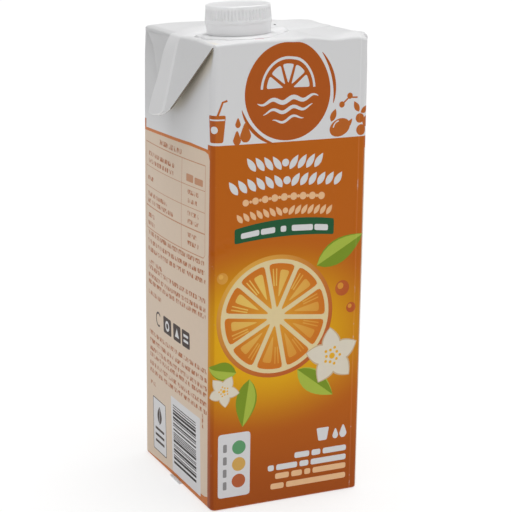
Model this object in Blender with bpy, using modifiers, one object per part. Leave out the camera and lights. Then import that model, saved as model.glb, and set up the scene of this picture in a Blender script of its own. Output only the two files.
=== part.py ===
"""Juice carton: a one-litre brick of coated board with folded ears and a screw cap.

The front panel faces -Y, the nutrition panel faces -X, and the pack stands on z = 0.
The board is one shut solid. The spout's flange, the tamper band and the cap are
separate pieces of white plastic on its top. Lengths are in metres.
"""

import math

import bmesh
import bpy
from mathutils import Matrix, Vector

# The pack, measured between the virtual corners of its walls
WIDTH = 0.0695
DEPTH = 0.0775
HEIGHT = 0.196
EDGE_RADIUS = 0.0025
FOLD_INSET = 0.0012

# How far the full walls swell, most a little above half height
SIDE_BULGE = 0.0026
FRONT_BULGE = 0.0011
BULGE_SKEW = 1.35

# The crowned top and the soft roll along its right edge, in front of the fin
CROWN = 0.0013
ROLL = 0.0017
ROLL_START = 0.012
ROLL_BACK = 0.010
LIFT_RAMP = 0.020

# Closure: one axis for flange, band and cap
SPOUT_X = -0.0151
SPOUT_Y = -0.0188
SEAT_LIFT = 0.0012
SEAT_RADIUS = 0.0174
SEAT_WING = 0.0085
SEAT_BLEND = 0.004
GAP = 0.0003
FLANGE_RADIUS = 0.0158
FLANGE_THICK = 0.0009
FLANGE_SEGMENTS = 48
LEFT_WING = 0.0165
RIGHT_WING = 0.0238
WING_WIDTH = 0.0150
WING_RIB_HEIGHT = 0.0020
WING_RIB_THICK = 0.0012
COLLAR_RADIUS = 0.0114
BAND_BOTTOM = 0.1986
BAND_TOP = 0.2042
BAND_LOW_RADIUS = 0.0125
BAND_HIGH_RADIUS = 0.0136
BAND_INNER_RADIUS = 0.0118
CAP_TOP = 0.2102
CAP_RADIUS = 0.0136
CAP_CHAMFER = 0.0007
RIB_DEPTH = 0.00035
RIB_COUNT = 60

# Top fin: the seal strip that runs along X and is folded to the back
FIN_FOLD_Y = -0.0025
FIN_WIDTH = 0.0108
FIN_THICK = 0.0010
FIN_SINK = 0.0004
FIN_SPRING = 0.0021
FIN_SPRING_X = 0.012
FIN_RAMP = 0.005

# Ears: two-layer triangles that hang from the top's side edges and stand off the walls
EAR_ANGLE = math.radians(16)
EAR_THICK = 0.0014
EAR_ROOT = -0.0006
EAR_DROP = 0.0005
EAR_END = 0.0009
FIN_STEP = 0.00015
EAR_LENGTH = 0.0338
EAR_FIN_THICK = 0.0010
EAR_BEND = (-0.0138, 0.0284)
EAR_BACK = (0.0097, 0.0180)

# Underside: folded ears and fin lie flush with the rim, the bare panel is recessed
RECESS = 0.0008
RECESS_RIM = 0.0035
BOTTOM_FIN_WIDTH = 0.0100

# Print: the white upper zone ends at this height
WHITE_LINE = 0.156
FACING = 0.7

CELLS_ACROSS = 12
CELLS_UP = 16
TINY = 0.000001


def clear_scene():
    for item in list(bpy.data.objects):
        bpy.data.objects.remove(item, do_unlink=True)


def new_collection(name):
    collection = bpy.data.collections.new(name)
    bpy.context.scene.collection.children.link(collection)
    return collection


def new_material(name, colour, roughness):
    material = bpy.data.materials.new(name)
    material.use_nodes = True
    shader = material.node_tree.nodes["Principled BSDF"]
    shader.inputs["Base Color"].default_value = (*colour, 1.0)
    shader.inputs["Roughness"].default_value = roughness
    shader.inputs["Metallic"].default_value = 0.0
    material.diffuse_color = (*colour, 1.0)
    return material


def new_object(name, mesh, collection):
    item = bpy.data.objects.new(name, mesh)
    collection.objects.link(item)
    return item


def smooth_step(value):
    value = min(max(value, 0.0), 1.0)
    return value * value * (3 - 2 * value)


def top_lift(x, y):
    """Height of the top panel above the level of its corners."""
    across = x / (WIDTH / 2)
    crown = CROWN * (1 - across**4)
    roll_x = smooth_step((x - ROLL_START) / (WIDTH / 2 - EDGE_RADIUS - ROLL_START))
    roll_y = smooth_step((ROLL_BACK - y) / ROLL_BACK) * smooth_step((y + DEPTH / 2) / ROLL_BACK)
    free = crown + ROLL * roll_x * roll_y
    beside = x - SPOUT_X
    if beside > 0:
        beside = max(beside - SEAT_WING, 0.0)
    away = math.hypot(beside, y - SPOUT_Y) - SEAT_RADIUS
    return SEAT_LIFT + (free - SEAT_LIFT) * smooth_step(away / SEAT_BLEND)


def wall_bulge(amount, along, z):
    """Outward swell of a wall: none at its four edges."""
    up = min(max(z / HEIGHT, 0.0), 1.0)
    return amount * (1 - along**2) * math.sin(math.pi * up**BULGE_SKEW)


def body_point(point):
    """Moves a point of the plain block to its place on the filled pack."""
    half_x, half_y = WIDTH / 2, DEPTH / 2
    x, y, z = point
    on_side = abs(abs(x) - half_x) < TINY
    on_front = abs(abs(y) - half_y) < TINY
    on_end = z < TINY or z > HEIGHT - TINY
    inset = FOLD_INSET if on_end else 0.0
    if on_side and on_front:
        inset += EDGE_RADIUS * (1 - math.sqrt(0.5))
    shift_x = wall_bulge(SIDE_BULGE, y / half_y, z) - inset if on_side else 0.0
    shift_y = wall_bulge(FRONT_BULGE, x / half_x, z) - inset if on_front else 0.0
    ramp = smooth_step((z - HEIGHT + LIFT_RAMP) / LIFT_RAMP)
    return Vector((
        x + math.copysign(1, x) * shift_x,
        y + math.copysign(1, y) * shift_y,
        z + ramp * top_lift(x, y),
    ))


def stations(half, edge, cells):
    """Evenly spaced cuts between the two rounded edges."""
    inner = half - edge
    return [-inner + 2 * inner * i / cells for i in range(cells + 1)]


def cut_across(bm, axis, places):
    """Slices the whole mesh with planes square to one axis."""
    normal = Vector((0, 0, 0))
    normal[axis] = 1.0
    for place in places:
        geometry = bm.verts[:] + bm.edges[:] + bm.faces[:]
        bmesh.ops.bisect_plane(bm, geom=geometry, plane_co=normal * place, plane_no=normal)


def make_block():
    """The filled brick: a box cut into cells, then swollen and rounded."""
    bm = bmesh.new()
    bmesh.ops.create_cube(bm, size=1.0)
    bmesh.ops.scale(bm, vec=(WIDTH, DEPTH, HEIGHT), verts=bm.verts)
    bmesh.ops.translate(bm, vec=(0, 0, HEIGHT / 2), verts=bm.verts)
    cut_across(bm, 0, stations(WIDTH / 2, EDGE_RADIUS, CELLS_ACROSS))
    cut_across(bm, 1, stations(DEPTH / 2, EDGE_RADIUS, CELLS_ACROSS))
    middle = HEIGHT / 2
    levels = stations(middle, FOLD_INSET, CELLS_UP)
    cut_across(bm, 2, [middle + level for level in levels])
    for vertex in bm.verts:
        vertex.co = body_point(vertex.co)
    bmesh.ops.triangulate(bm, faces=bm.faces)
    mesh = bpy.data.meshes.new("carton")
    bm.to_mesh(mesh)
    bm.free()
    return mesh


def make_top_fin():
    """The seal strip on the top panel, sprung up along its free back edge."""
    bm = bmesh.new()
    bmesh.ops.create_cube(bm, size=1.0)
    length = WIDTH - 2 * FOLD_INSET
    bmesh.ops.scale(bm, vec=(length, FIN_WIDTH, FIN_THICK), verts=bm.verts)
    cut_across(bm, 0, stations(length / 2, EDGE_RADIUS, CELLS_ACROSS))
    cut_across(bm, 1, [0.0])
    for vertex in bm.verts:
        x, y, z = vertex.co
        over = y / FIN_WIDTH + 0.5
        spread = 1 - (abs(x - FIN_SPRING_X) / (WIDTH / 2 + FIN_SPRING_X)) ** 2
        spring = FIN_SPRING * over * spread * smooth_step((WIDTH / 2 - x) / FIN_RAMP)
        place_y = FIN_FOLD_Y + over * FIN_WIDTH
        base = HEIGHT + top_lift(x, place_y) - FIN_SINK
        vertex.co = Vector((x, place_y, base + FIN_THICK / 2 + z + spring))
    bmesh.ops.triangulate(bm, faces=bm.faces)
    mesh = bpy.data.meshes.new("top_fin")
    bm.to_mesh(mesh)
    bm.free()
    return mesh


def plate_mesh(name, outline, thickness, frame, collection):
    """A flat plate of the outline, as a mesh in the place that the frame gives."""
    curve = bpy.data.curves.new(name, "CURVE")
    curve.dimensions = "2D"
    curve.fill_mode = "BOTH"
    curve.extrude = thickness / 2
    spline = curve.splines.new("POLY")
    spline.points.add(len(outline) - 1)
    for point, (u, v) in zip(spline.points, outline):
        point.co = (u, v, 0.0, 1.0)
    spline.use_cyclic_u = True
    drawn = new_object(name, curve, collection)
    bpy.context.view_layer.update()
    graph = bpy.context.evaluated_depsgraph_get()
    mesh = bpy.data.meshes.new_from_object(drawn.evaluated_get(graph))
    bpy.data.objects.remove(drawn, do_unlink=True)
    bm = bmesh.new()
    bm.from_mesh(mesh)
    bmesh.ops.remove_doubles(bm, verts=bm.verts, dist=TINY)
    bmesh.ops.transform(bm, matrix=frame, verts=bm.verts)
    bmesh.ops.recalc_face_normals(bm, faces=bm.faces)
    bm.to_mesh(mesh)
    bm.free()
    return mesh


def ear_frame(side, lift):
    """Plate axes of an ear: u along Y, v down the flap, w off its face by lift."""
    down = Vector((side * math.sin(EAR_ANGLE), 0, -math.cos(EAR_ANGLE)))
    along = Vector((0, 1, 0))
    face = along.cross(down)
    hinge = Vector((side * (WIDTH / 2 - FOLD_INSET), 0, HEIGHT - EAR_DROP))
    frame = Matrix((along, down, face)).transposed().to_4x4()
    frame.translation = hinge - side * face * lift
    return frame


def make_ears(collection):
    """Both ears, each a triangular plate with the seal strip over it."""
    half = DEPTH / 2 - EAR_END
    fin_front = FIN_FOLD_Y + FIN_STEP
    fin_back = FIN_FOLD_Y + FIN_WIDTH - FIN_STEP
    triangle = [
        (-half, EAR_ROOT), (half, EAR_ROOT), (half, 0.0), EAR_BACK,
        (FIN_FOLD_Y, EAR_LENGTH - FIN_THICK), EAR_BEND, (-half, 0.0),
    ]
    strip_root = EAR_ROOT - FIN_STEP
    strip = [
        (fin_front, strip_root), (fin_back, strip_root),
        (fin_back, EAR_LENGTH), (fin_front, EAR_LENGTH),
    ]
    strip_lift = (EAR_THICK + EAR_FIN_THICK) / 2 - FIN_SINK
    for side in (-1, 1):
        ear = plate_mesh("ear", triangle, EAR_THICK, ear_frame(side, 0.0), collection)
        new_object("ear", ear, collection)
        fin = plate_mesh("ear_fin", strip, EAR_FIN_THICK, ear_frame(side, strip_lift), collection)
        new_object("ear_fin", fin, collection)


def apply_modifiers(item):
    graph = bpy.context.evaluated_depsgraph_get()
    mesh = bpy.data.meshes.new_from_object(item.evaluated_get(graph))
    item.modifiers.clear()
    item.data = mesh


def boolean(item, operation, other):
    """Joins or cuts with one object or with a whole collection, and applies it."""
    modifier = item.modifiers.new(operation.lower(), "BOOLEAN")
    modifier.operation = operation
    if isinstance(other, bpy.types.Collection):
        modifier.operand_type = "COLLECTION"
        modifier.collection = other
    else:
        modifier.object = other
    apply_modifiers(item)


def empty_collection(collection):
    for item in list(collection.objects):
        bpy.data.objects.remove(item, do_unlink=True)
    bpy.data.collections.remove(collection)


def cut_underside(carton, cutters):
    """Recesses the bare bottom panel in front of the folded fin and behind it."""
    half_x = WIDTH / 2 - RECESS_RIM
    half_y = DEPTH / 2 - RECESS_RIM
    for side, inner in ((-1, -RECESS_RIM / 2), (1, BOTTOM_FIN_WIDTH + RECESS_RIM / 2)):
        outline = [(-half_x, side * half_y), (half_x, side * half_y), (0.0, inner)]
        mesh = plate_mesh("recess", outline, 2 * RECESS, Matrix.Identity(4), cutters)
        cutter = new_object("recess", mesh, cutters)
        cutter.hide_render = True
        cutter.display_type = "WIRE"
        boolean(carton, "DIFFERENCE", cutter)


def paint_fields(carton):
    """White board at the top, orange front and back, warm grey sides."""
    for face in carton.data.polygons:
        if face.center.z > WHITE_LINE or abs(face.normal.z) > FACING:
            face.material_index = 0
        elif abs(face.normal.y) > FACING:
            face.material_index = 1
        else:
            face.material_index = 2


def make_carton(collection, cutters):
    carton = new_object("carton", make_block(), collection)
    folds = new_collection("folds")
    new_object("top_fin", make_top_fin(), folds)
    make_ears(folds)
    boolean(carton, "UNION", folds)
    empty_collection(folds)
    cut_underside(carton, cutters)
    carton.data.materials.clear()
    for material in (
        new_material("white_board", (0.62, 0.62, 0.62), 0.45),
        new_material("orange_print", (0.42, 0.11, 0.015), 0.35),
        new_material("beige_print", (0.55, 0.41, 0.31), 0.45),
    ):
        carton.data.materials.append(material)
    paint_fields(carton)
    return carton


def turned(name, profile, steps, collection):
    """A closed turned ring or disc about the closure's axis."""
    mesh = bpy.data.meshes.new(name)
    edges = [(i, (i + 1) % len(profile)) for i in range(len(profile))]
    mesh.from_pydata([(r, 0.0, z) for r, z in profile], edges, [])
    item = new_object(name, mesh, collection)
    screw = item.modifiers.new("turn", "SCREW")
    screw.steps = steps
    screw.render_steps = steps
    screw.use_merge_vertices = True
    screw.merge_threshold = 10 * TINY
    item.location = (SPOUT_X, SPOUT_Y, 0.0)
    return item


def seat_level():
    return HEIGHT + SEAT_LIFT + GAP


def make_cylinder(name, radius, low, high, segments, collection):
    bpy.ops.mesh.primitive_cylinder_add(
        vertices=segments, radius=radius, depth=high - low,
        location=(SPOUT_X, SPOUT_Y, (low + high) / 2),
    )
    item = bpy.context.object
    item.name = name
    move_to(item, collection)
    return item


def make_box(name, low, high, collection):
    bpy.ops.mesh.primitive_cube_add(size=1.0)
    item = bpy.context.object
    item.name = name
    low, high = Vector(low), Vector(high)
    place = Matrix.Translation((low + high) / 2) @ Matrix.Diagonal((high - low).to_4d())
    item.data.transform(place)
    move_to(item, collection)
    return item


def move_to(item, collection):
    for old in list(item.users_collection):
        old.objects.unlink(item)
    collection.objects.link(item)


def make_flange(collection):
    """The glued plate with its collar, two wings and the ribs that end them."""
    bottom = seat_level()
    top = bottom + FLANGE_THICK
    flange = make_cylinder("spout_flange", FLANGE_RADIUS, bottom, top, FLANGE_SEGMENTS, collection)
    extras = new_collection("flange_parts")
    collar_top = BAND_TOP - GAP
    make_cylinder("collar", COLLAR_RADIUS, bottom + FLANGE_THICK / 2, collar_top, FLANGE_SEGMENTS, extras)
    slack = FLANGE_THICK / 5
    for side, reach in ((-1, LEFT_WING), (1, RIGHT_WING)):
        end = SPOUT_X + side * reach
        root = SPOUT_X + side * FLANGE_RADIUS / 2
        half = WING_WIDTH / 2
        low = (min(end, root), SPOUT_Y - half, bottom + slack)
        high = (max(end, root), SPOUT_Y + half, top - slack)
        make_box("wing", low, high, extras)
        inner = end - side * WING_RIB_THICK
        low = (min(end, inner), SPOUT_Y - half, bottom + slack / 2)
        high = (max(end, inner), SPOUT_Y + half, bottom + WING_RIB_HEIGHT)
        make_box("wing_rib", low, high, extras)
    boolean(flange, "UNION", extras)
    empty_collection(extras)
    return flange


def make_band():
    return [
        (BAND_HIGH_RADIUS, BAND_TOP), (BAND_LOW_RADIUS, BAND_BOTTOM),
        (BAND_INNER_RADIUS, BAND_BOTTOM), (BAND_INNER_RADIUS, BAND_TOP),
    ]


def make_cap(collection):
    """A closed disc with upright grip ribs and a chamfered top edge."""
    low = BAND_TOP + GAP
    bm = bmesh.new()
    bmesh.ops.create_cone(
        bm, cap_ends=True, segments=2 * RIB_COUNT,
        radius1=CAP_RADIUS, radius2=CAP_RADIUS, depth=CAP_TOP - CAP_CHAMFER - low,
    )
    bmesh.ops.translate(bm, vec=(0, 0, (CAP_TOP - CAP_CHAMFER + low) / 2), verts=bm.verts)
    turn = math.pi / RIB_COUNT
    for vertex in bm.verts:
        step = round(math.atan2(vertex.co.y, vertex.co.x) / turn)
        if step % 2:
            shrink = 1 - RIB_DEPTH / CAP_RADIUS
            vertex.co.x *= shrink
            vertex.co.y *= shrink
    top = max(bm.faces, key=lambda face: face.calc_center_median().z)
    grown = bmesh.ops.extrude_discrete_faces(bm, faces=[top])
    for vertex in grown["faces"][0].verts:
        radius = vertex.co.xy.length
        vertex.co.xy *= (CAP_RADIUS - RIB_DEPTH - CAP_CHAMFER) / radius
        vertex.co.z = CAP_TOP
    mesh = bpy.data.meshes.new("cap")
    bm.to_mesh(mesh)
    bm.free()
    cap = new_object("cap", mesh, collection)
    cap.location = (SPOUT_X, SPOUT_Y, 0.0)
    return cap


def main():
    clear_scene()
    pack = new_collection("juice_carton")
    cutters = new_collection("cutters")
    make_carton(pack, cutters)
    plastic = new_material("white_plastic", (0.70, 0.70, 0.71), 0.35)
    pieces = [
        make_flange(pack),
        turned("tamper_band", make_band(), 2 * FLANGE_SEGMENTS, pack),
        make_cap(pack),
    ]
    for piece in pieces:
        piece.data.materials.clear()
        piece.data.materials.append(plastic)
        piece.data.shade_smooth()
        piece.data.set_sharp_from_angle(angle=math.radians(30))


main()
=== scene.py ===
"""Looks of the juice carton: board skin with its print, folds, closure, light and camera.

Shapes are worked out in millimetres and turned into metres when a mesh is made.
The walls are laid out flat as one strip, p round the pack and v up it, so that the
print is drawn in the plane and then wrapped over the filled shape.
"""

import random
from math import ceil, cos, dist, exp, hypot, pi, radians, sin, sqrt, tan, tau

import bmesh
import bpy
from mathutils import Matrix, Vector
from mathutils.geometry import delaunay_2d_cdt

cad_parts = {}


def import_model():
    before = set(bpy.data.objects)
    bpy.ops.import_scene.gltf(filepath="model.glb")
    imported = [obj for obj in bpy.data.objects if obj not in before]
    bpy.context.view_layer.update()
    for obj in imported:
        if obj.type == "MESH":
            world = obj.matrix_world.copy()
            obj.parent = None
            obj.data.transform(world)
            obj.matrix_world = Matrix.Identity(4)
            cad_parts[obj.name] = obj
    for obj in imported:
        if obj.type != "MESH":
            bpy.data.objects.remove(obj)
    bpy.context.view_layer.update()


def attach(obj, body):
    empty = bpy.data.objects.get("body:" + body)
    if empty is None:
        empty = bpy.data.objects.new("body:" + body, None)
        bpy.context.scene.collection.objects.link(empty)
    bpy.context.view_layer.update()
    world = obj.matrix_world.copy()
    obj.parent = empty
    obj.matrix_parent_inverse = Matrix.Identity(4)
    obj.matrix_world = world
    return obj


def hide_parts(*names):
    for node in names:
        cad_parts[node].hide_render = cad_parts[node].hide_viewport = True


MM = 0.001

# The pack, as in the CAD solids
HALF_X = 34.75
HALF_Y = 38.75
HEIGHT = 196.0
EDGE = 2.5
SIDE_BULGE = 2.6
FRONT_BULGE = 1.1
BULGE_SKEW = 1.35
CROWN = 1.3
ROLL = 1.95
ROLL_START = 12.0
ROLL_BACK = 10.0
ROLL_FRONT = 4.5
LIFT_RAMP = 20.0
SPOUT_X = -15.1
SPOUT_Y = -18.8
SEAT_LIFT = 1.3
SEAT_RADIUS = 17.4
SEAT_WING = 8.5
SEAT_BLEND = 4.0
FRONT_WAVE = 0.5
WAVE_LIFT = 0.3
WAVE_LENGTH = 25.0
WAVE_START = -0.25
WAVE_FROM_X = -2.0
WAVE_FROM_Y = -24.0

# The walls laid out flat
FOLD = 1.2
FOLD_TURN = FOLD * pi / 2
RING = 1.1
FLAT_X = HALF_X - EDGE
FLAT_Y = HALF_Y - EDGE
ARC = EDGE * pi / 2
GIRTH = 4 * (FLAT_X + FLAT_Y + ARC)
LEFT_START = -FLAT_X - ARC - 2 * FLAT_Y
RIGHT_START = FLAT_X + ARC
BACK_MIDDLE = GIRTH / 2
SEAM = LEFT_START - ARC / 2
LOW_END = FOLD - FOLD_TURN - RING
HIGH_END = HEIGHT - FOLD + FOLD_TURN + RING
CELL = 2.0
ARC_CELLS = 8
FOLD_CELLS = 5
NORMAL_STEP = 0.04

# Underside
RECESS = 0.8
RECESS_RIM = 3.5
FIN_FOOT = 10.0
BARE_PANELS = ((-1, -RECESS_RIM / 2), (1, FIN_FOOT + RECESS_RIM / 2))

# Ears and the seal strip that runs over the top from ear to ear
EAR_ANGLE = radians(16)
BEND_RADIUS = 1.35
EAR_THICK = 0.75
EAR_ROOT = -3.6
EAR_SINK = 0.14
EAR_CURL = 1.7
EAR_BELLY = 0.10
EAR_GROOVE = 0.22
STRIP_Y0 = -2.5
STRIP_Y1 = 6.4
STRIP_THICK = 0.9
STRIP_END = 34.1
STRIP_SPRING = 2.2
STRIP_SPRING_X = 12.0
STRIP_FOOT_TOP = 5.0
STRIP_FOOT_EAR = 1.3
STRIP_SLANT = 0.13

# Closure, which leans a little towards the left of the photograph
TILT = tan(radians(2.4))
TILT_WAY = (0.907, -0.421)
CAP_TOP = 210.2
CAP_FOOT_RADIUS = 13.58
CAP_HEAD_RADIUS = 13.22
CAP_RIM = 0.75
CAP_LOW = 203.03
LEDGE = 204.6
BAND_TOP = 203.0
BAND_BOTTOM = 198.42
RIB_COUNT = 56
RIB_DEPTH = 0.62
FLANGE_TOP = 198.34
FLANGE_THICK = 3.0
FLANGE_RADIUS = 15.8
BRIDGES = 6
BRIDGE_RADIUS = 12.45
BRIDGE_START = 218.9

# The print's levels and places, the painted shade on the rounded upright edges, the painted shadow beside
# the left ear and the small marks
WHITE_LINE = 156.3
WRAP = 38.1
CREASE_X = 30.7
ORANGE_EDGE_SHADE = (0.85, 0.76, 0.85, 1.0)
WHITE_EDGE_SHADE = (0.97, 0.97, 0.975, 1.0)
DOT_PLACE = (10.6, 1.3)
LEAF_LEAN = 56
# Line of the painted shadow in the gap beside the left ear: a point on it and its lean
SHADOW_GAP_PLACE = (-19.5, 181.6)
SHADOW_GAP_LEAN = (0.588, 0.808)
PINK_MARK = [(-15.4, -35.9), (-11.4, -35.7), (-11.4, -34.5), (-15.4, -34.8)]

# Floor, lights as name, strength, angle and direction, and camera
FLOOR_SIZE = 9.0
FLOOR_GLOW = 0.66
WORLD_LIGHT = 0.16
SUNS = (
    ("top_light", 2.29, 44, (0.0, 0.0, -1.0)), ("right_light", 0.52, 44, (-0.36, -0.10, -0.93)),
    ("front_light", 0.26, 60, (0.30, 1.0, -0.20)), ("left_light", 0.08, 60, (1.0, 0.30, -0.20)),
    ("side_light", 0.28, 44, (-1.0, 0.0, -0.10)),
)
CAMERA_AZIMUTH = radians(-24.870)
CAMERA_HEIGHT_ANGLE = radians(14.344)
CAMERA_ROLL = radians(0.6825)
CAMERA_PLACE = (-0.28082, -0.61118, 0.27093)
CAMERA_SENSOR = 36
CAMERA_LENS = 111.985


def ease(value):
    value = min(max(value, 0.0), 1.0)
    return value * value * (3 - 2 * value)


def top_lift(x, y):
    """Height of the top panel above the level of its corners."""
    across = x / HALF_X
    crown = CROWN * (1 - across**4)
    roll_x = ease((x - ROLL_START) / (HALF_X - EDGE - ROLL_START))
    roll_y = ease((ROLL_BACK - y) / ROLL_BACK) * ease((y + HALF_Y) / ROLL_FRONT)
    free = crown + ROLL * roll_x * roll_y
    window = ease((x - WAVE_FROM_X) / 5) * ease((HALF_X - x) / 4)
    window *= ease((WAVE_FROM_Y - y) / 11)
    wave = FRONT_WAVE * sin(tau * (x - WAVE_START) / WAVE_LENGTH)
    free += window * (WAVE_LIFT + wave)
    beside = x - SPOUT_X
    seat = SEAT_LIFT + TILT * (beside * TILT_WAY[0] + (y - SPOUT_Y) * TILT_WAY[1])
    if beside > 0:
        beside = max(beside - SEAT_WING, 0.0)
    away = hypot(beside, y - SPOUT_Y) - SEAT_RADIUS
    return seat + (free - seat) * ease(away / SEAT_BLEND)


def wall_bulge(amount, along, z):
    """Outward swell of a wall: none at its four edges."""
    up = min(max(z / HEIGHT, 0.0), 1.0)
    return amount * (1 - along**2) * sin(pi * up**BULGE_SKEW)


def segment_distance(px, py, ax, ay, bx, by):
    dx, dy = bx - ax, by - ay
    t = ((px - ax) * dx + (py - ay) * dy) / (dx * dx + dy * dy)
    t = min(max(t, 0.0), 1.0)
    return hypot(px - ax - t * dx, py - ay - t * dy)


# Creases and dents: from, to, height outwards, width, on the laid-out walls
WALL_CREASES = (
    (-34.6, 113.4, -27.5, 116.0, -0.30, 1.3),
    (-35.6, 110.6, -29.5, 112.7, 0.18, 1.3),
    (-33.4, 193.9, -21.9, 184.1, -0.20, 2.2),
    (19.7, 134.0, 19.7, 123.0, -0.16, 1.2),
    (CREASE_X, 194.0, CREASE_X, 2.0, 0.06, 0.35),
    (24.0, 60.0, 31.0, 52.0, -0.20, 2.4),
    (-31.0, 20.0, -25.0, 11.0, -0.14, 2.0),
)
TOP_CREASES = (
    (7.6, -18.8, 31.4, -2.9, -0.42, 2.1),
    (-33.0, -36.0, -24.0, -31.0, -0.20, 1.6),
    (-30.0, 20.0, 26.0, 24.0, -0.25, 3.2),
)
EAR_DENT = 2.3
DENT_RIM = 3.6
DENT_LENGTH = 36.0
DENT_FADE = 24.0


def crease_sum(creases, px, py):
    total = 0.0
    for ax, ay, bx, by, height, width in creases:
        if abs(px - (ax + bx) / 2) > abs(bx - ax) / 2 + 3 * width:
            continue
        away = segment_distance(px, py, ax, ay, bx, by)
        total += height * exp(-(away / width) ** 2)
    return total


def outline_at(p):
    """Point and outward direction on the plain rounded rectangle."""
    rest = (p + FLAT_X) % GIRTH
    for k in range(4):
        length = 2 * (FLAT_X, FLAT_Y)[k % 2]
        if rest <= length + ARC or k == 3:
            break
        rest -= length + ARC
    angle, along = k * pi / 2, min(rest, length)
    turn = angle + (rest - along) / EDGE
    out = (sin(turn), -cos(turn))
    x = (-FLAT_X, FLAT_X, FLAT_X, -FLAT_X)[k] + along * cos(angle) + EDGE * out[0]
    y = (-FLAT_Y, -FLAT_Y, FLAT_Y, FLAT_Y)[k] + along * sin(angle) + EDGE * out[1]
    return x, y, *out


def fold_profile(v):
    """Inset from the wall and height, for a place v up the strip."""
    top = HEIGHT - FOLD
    past = max(FOLD - v, v - top)
    if past <= 0:
        return 0.0, v
    turn = min(past / FOLD_TURN, 1.0) * pi / 2
    inset = FOLD * (1 - cos(turn)) + max(past - FOLD_TURN, 0.0)
    rise = FOLD * sin(turn)
    return inset, FOLD - rise if v < FOLD else top + rise


def wall_relief(p, x, y, nx, z):
    """Creases of the walls, and the shallow dent that each side wall has under its ear."""
    total = crease_sum(WALL_CREASES, p, z)
    if abs(nx) > 0.5:
        inside = ease((HALF_Y + 0.3 - abs(y)) / DENT_RIM)
        down = HEIGHT - z
        reach = ease((DENT_LENGTH - abs(y) * 0.6 - down) / DENT_FADE)
        total -= EAR_DENT * inside * reach * ease((down - 0.2) / 1.5) * abs(nx)
    return total


def skin_point(p, v):
    """Place of the board's surface for a point of the laid-out strip."""
    x, y, nx, ny = outline_at(p)
    inset, z = fold_profile(v)
    relief = wall_relief(p, x, y, nx, z)
    px = x + nx * (wall_bulge(SIDE_BULGE, y / HALF_Y, z) + relief - inset)
    py = y + ny * (wall_bulge(FRONT_BULGE, x / HALF_X, z) + relief - inset)
    ramp = ease((z - HEIGHT + LIFT_RAMP) / LIFT_RAMP)
    return Vector((px, py, z + ramp * top_lift(px, py)))


def top_point(x, y):
    """Place of the top panel's surface."""
    inner = min(HALF_X - abs(x), HALF_Y - abs(y)) - FOLD - RING
    relief = crease_sum(TOP_CREASES, x, y) * ease(inner / 3)
    return Vector((x, y, HEIGHT + top_lift(x, y) + relief))


def bottom_point(x, y):
    """Place of the underside: two bare panels lie a little above the folded ears."""
    half_y = HALF_Y - RECESS_RIM
    depth = 0.0
    for side, inner in BARE_PANELS:
        slope = (half_y - side * inner) * abs(x) / (HALF_X - RECESS_RIM)
        edge = min(half_y - side * y, (side * (y - inner) - slope) * 0.68)
        depth = max(depth, ease(edge / 0.5))
    return Vector((x, y, RECESS * depth))


def surface_normal(place, a, b):
    """Direction square to a surface that place(a, b) gives."""
    along = place(a + NORMAL_STEP, b) - place(a - NORMAL_STEP, b)
    up = place(a, b + NORMAL_STEP) - place(a, b - NORMAL_STEP)
    return along.cross(up).normalized()


# The print, drawn flat: shapes in order, later ones on top. Each panel is drawn about 0
# and then moved to the middle of its wall.

PRINT = []


def paint(ink, points):
    """Adds a shape; its points always run counter-clockwise."""
    following = points[1:] + points[:1]
    area = sum(ax * bz - bx * az for (ax, az), (bx, bz) in zip(points, following))
    PRINT.append((ink, points if area > 0 else points[::-1]))


def shares(count):
    return [k / count for k in range(count + 1)]


def evenly(low, high, cell):
    return [low + (high - low) * t for t in shares(max(1, round((high - low) / cell)))]


def ray(x, z, angle):
    """Gives places by their distance from (x, z) and their turn away from the angle."""
    def place(r, a=0.0):
        return x + r * cos(angle + a), z + r * sin(angle + a)

    return place


def rounded(points, radius, steps=3):
    """The polygon with its corners rounded."""
    result = []
    for before, corner, after in zip(points[-1:] + points, points, points[1:] + points[:1]):
        ends = []
        for other in (before, after):
            share = min(radius / dist(corner, other), 0.5)
            ends.append([c + (o - c) * share for c, o in zip(corner, other)])
        for t in shares(steps):
            bend = zip(ends[0], corner, ends[1])
            result.append(tuple((1 - t) ** 2 * a + 2 * t * (1 - t) * c + t * t * b for a, c, b in bend))
    return result


def smooth_loop(points, steps=5):
    """A closed smooth curve through the points."""
    result = []
    for k in range(len(points)):
        near = [points[(k + i) % len(points)] for i in (-1, 0, 1, 2)]
        for t in shares(steps)[:-1]:
            result.append(tuple(
                0.5 * (2 * b + (c - a) * t + (2 * a - 5 * b + 4 * c - d) * t**2
                       + (3 * b - a - 3 * c + d) * t**3)
                for a, b, c, d in zip(*near)
            ))
    return result


def bar(ink, x0, x1, z0, z1, radius=None):
    if radius is None:
        radius = 0.45 * min(x1 - x0, z1 - z0)
    paint(ink, rounded([(x0, z0), (x1, z0), (x1, z1), (x0, z1)], radius))


def disc(ink, x, z, radius, sides=40, tall=1.0, tilt=0.0):
    points = []
    for t in shares(sides)[:-1]:
        a, b = radius * cos(tau * t), radius * tall * sin(tau * t)
        points.append((x + a * cos(tilt) - b * sin(tilt), z + a * sin(tilt) + b * cos(tilt)))
    paint(ink, points)


def leaf(ink, x, z, length, width, angle, split=None):
    """A pointed leaf from its stalk end, with an optional second half tone."""
    way, side = cos(radians(angle)), sin(radians(angle))

    def place(along, aside):
        return x + along * way - aside * side, z + along * side + aside * way

    upper = [(length * t, width / 2 * sin(pi * t**0.85) ** 0.9) for t in shares(9)]
    lower = [(a, -b) for a, b in upper[1:-1]]
    paint(ink, [place(a, b) for a, b in upper + lower[::-1]])
    if split:
        paint(split, [place(a, b * 0.86) for a, b in upper])


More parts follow.
